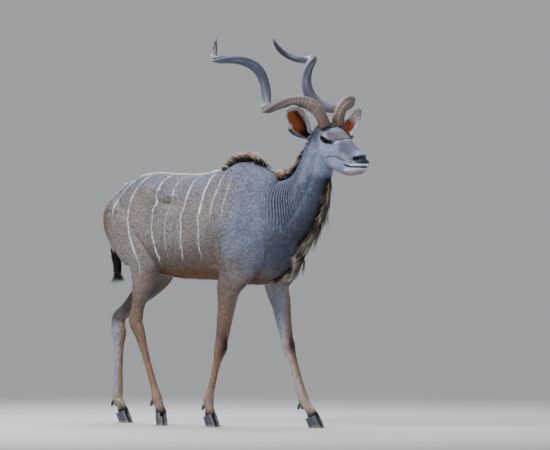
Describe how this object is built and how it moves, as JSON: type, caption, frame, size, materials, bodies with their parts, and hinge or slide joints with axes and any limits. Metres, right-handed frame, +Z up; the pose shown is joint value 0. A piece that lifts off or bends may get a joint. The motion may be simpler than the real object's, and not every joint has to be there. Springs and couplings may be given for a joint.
{
  "type": "greater kudu",
  "caption": "Life-size walking antelope bull with long spiral horns, cupped ears, a nape mane, a throat fringe and cloven hooves.",
  "frame": {"origin": "on the floor under the middle of the whole animal's box", "axes": "+X the way the animal walks and faces, +Y to its left, +Z up"},
  "size_m": [2.0506, 0.6766, 2.1478],
  "materials": {
    "coat": "short smooth grey-brown fur with thin white stripes",
    "mane": "coarse dark and tan hair",
    "horn": "ringed horn, worn smooth and darker towards the tips",
    "eye": "wet dark eye",
    "hoof": "smooth dark hoof"
  },
  "bodies": {
    "root": {"head": "coat", "neck": "coat", "torso": "coat", "tail": "coat", "ear_left": "coat", "ear_right": "coat", "fore_left_upper_leg": "coat", "fore_left_lower_leg": "coat", "fore_right_upper_leg": "coat", "fore_right_lower_leg": "coat", "hind_left_upper_leg": "coat", "hind_left_lower_leg": "coat", "hind_right_upper_leg": "coat", "hind_right_lower_leg": "coat", "horn_left": "horn", "horn_right": "horn", "eye_left": "eye", "eye_right": "eye", "fore_left_left_claw": "hoof", "fore_left_right_claw": "hoof", "fore_right_left_claw": "hoof", "fore_right_right_claw": "hoof", "hind_left_left_claw": "hoof", "hind_left_right_claw": "hoof", "hind_right_left_claw": "hoof", "hind_right_right_claw": "hoof"}
  },
  "joints": []
}
